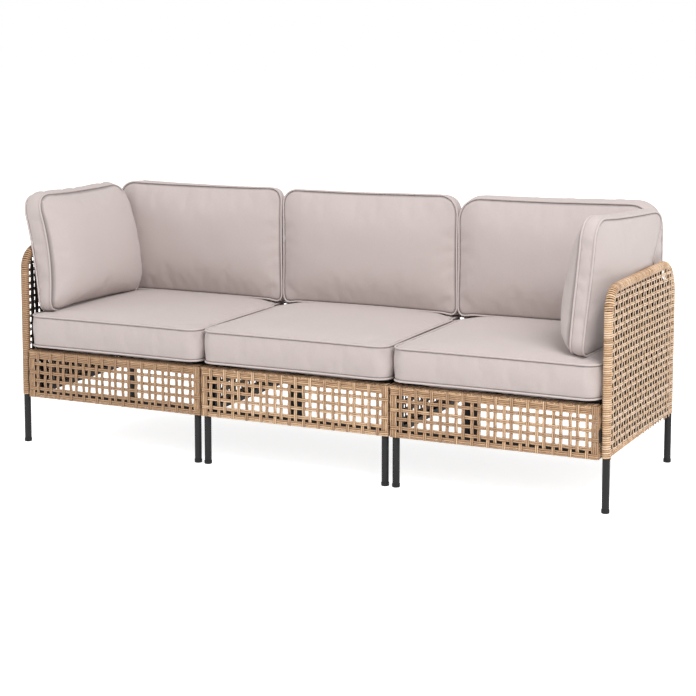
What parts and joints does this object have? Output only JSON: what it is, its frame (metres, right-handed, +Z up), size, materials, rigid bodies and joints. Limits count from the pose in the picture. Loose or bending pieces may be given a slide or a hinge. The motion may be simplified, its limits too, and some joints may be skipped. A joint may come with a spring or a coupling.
{
  "type": "modular rattan garden sofa",
  "caption": "Straight modular garden sofa: corner and middle seat units with woven wicker aprons and arm hoops on slim steel legs, and loose piped cushions.",
  "frame": {"origin": "on the ground under the centre of the whole length and depth", "axes": "+X along the sofa, to the right in a front view; +Y to the back; +Z up"},
  "size_m": [2.02, 0.683, 0.8168],
  "materials": {
    "wicker": "round and flat woven synthetic rattan strands in mixed tan tones",
    "dark_steel": "fine-textured charcoal powder coat",
    "foot_plastic": "matt black moulded caps",
    "cushion_fabric": "pale greige woven outdoor fabric with self piping"
  },
  "bodies": {
    "module_middle": {"middle_seat_frame": "dark_steel", "middle_seat_slats": "dark_steel", "middle_apron_front": "wicker", "middle_apron_back": "wicker", "middle_apron_left": "wicker", "middle_apron_right": "wicker", "middle_front_leg_left": "dark_steel", "middle_front_leg_right": "dark_steel", "middle_foot_front_left": "foot_plastic", "middle_foot_front_right": "foot_plastic", "middle_foot_rear_left": "foot_plastic", "middle_foot_rear_right": "foot_plastic", "middle_back_frame": "dark_steel", "middle_back_weave": "wicker", "middle_rear_tie": "dark_steel"},
    "module_left": {"left_seat_frame": "dark_steel", "left_seat_slats": "dark_steel", "left_apron_front": "wicker", "left_apron_back": "wicker", "left_apron_left": "wicker", "left_apron_right": "wicker", "left_front_leg_right": "dark_steel", "left_foot_front_right": "foot_plastic", "left_foot_front_outer": "foot_plastic", "left_foot_rear_outer": "foot_plastic", "left_foot_rear_inner": "foot_plastic", "left_arm_frame": "dark_steel", "left_arm_weave": "wicker", "left_arm_bracket": "dark_steel", "left_back_frame": "dark_steel", "left_back_weave": "wicker", "left_rear_tie": "dark_steel"},
    "module_right": {"right_seat_frame": "dark_steel", "right_seat_slats": "dark_steel", "right_apron_front": "wicker", "right_apron_back": "wicker", "right_apron_left": "wicker", "right_apron_right": "wicker", "right_front_leg_left": "dark_steel", "right_foot_front_left": "foot_plastic", "right_foot_front_outer": "foot_plastic", "right_foot_rear_outer": "foot_plastic", "right_foot_rear_inner": "foot_plastic", "right_arm_frame": "dark_steel", "right_arm_weave": "wicker", "right_arm_bracket": "dark_steel", "right_back_frame": "dark_steel", "right_back_weave": "wicker", "right_rear_tie": "dark_steel"},
    "seat_left": {"left_seat_cushion": "cushion_fabric"},
    "seat_middle": {"middle_seat_cushion": "cushion_fabric"},
    "seat_right": {"right_seat_cushion": "cushion_fabric"},
    "back_left": {"left_back_cushion": "cushion_fabric"},
    "back_middle": {"middle_back_cushion": "cushion_fabric"},
    "back_right": {"right_back_cushion": "cushion_fabric"},
    "side_left": {"left_side_cushion": "cushion_fabric"},
    "side_right": {"right_side_cushion": "cushion_fabric"}
  },
  "joints": [
    {"name": "left_module_slide", "type": "slide", "parent": "module_middle", "child": "module_left", "axis": [-1, 0, 0], "range_m": [0, 0.3]},
    {"name": "right_module_slide", "type": "slide", "parent": "module_middle", "child": "module_right", "axis": [1, 0, 0], "range_m": [0, 0.3]},
    {"name": "left_seat_lift", "type": "slide", "parent": "module_left", "child": "seat_left", "axis": [0, 0, 1], "range_m": [0, 0.36]},
    {"name": "middle_seat_lift", "type": "slide", "parent": "module_middle", "child": "seat_middle", "axis": [0, 0, 1], "range_m": [0, 0.36]},
    {"name": "right_seat_lift", "type": "slide", "parent": "module_right", "child": "seat_right", "axis": [0, 0, 1], "range_m": [0, 0.36]},
    {"name": "left_back_lift", "type": "slide", "parent": "seat_left", "child": "back_left", "axis": [0, 0, 1], "range_m": [0, 0.25]},
    {"name": "middle_back_lift", "type": "slide", "parent": "seat_middle", "child": "back_middle", "axis": [0, 0, 1], "range_m": [0, 0.25]},
    {"name": "right_back_lift", "type": "slide", "parent": "seat_right", "child": "back_right", "axis": [0, 0, 1], "range_m": [0, 0.25]},
    {"name": "left_side_lift", "type": "slide", "parent": "seat_left", "child": "side_left", "axis": [0, 0, 1], "range_m": [0, 0.25]},
    {"name": "right_side_lift", "type": "slide", "parent": "seat_right", "child": "side_right", "axis": [0, 0, 1], "range_m": [0, 0.25]}
  ]
}
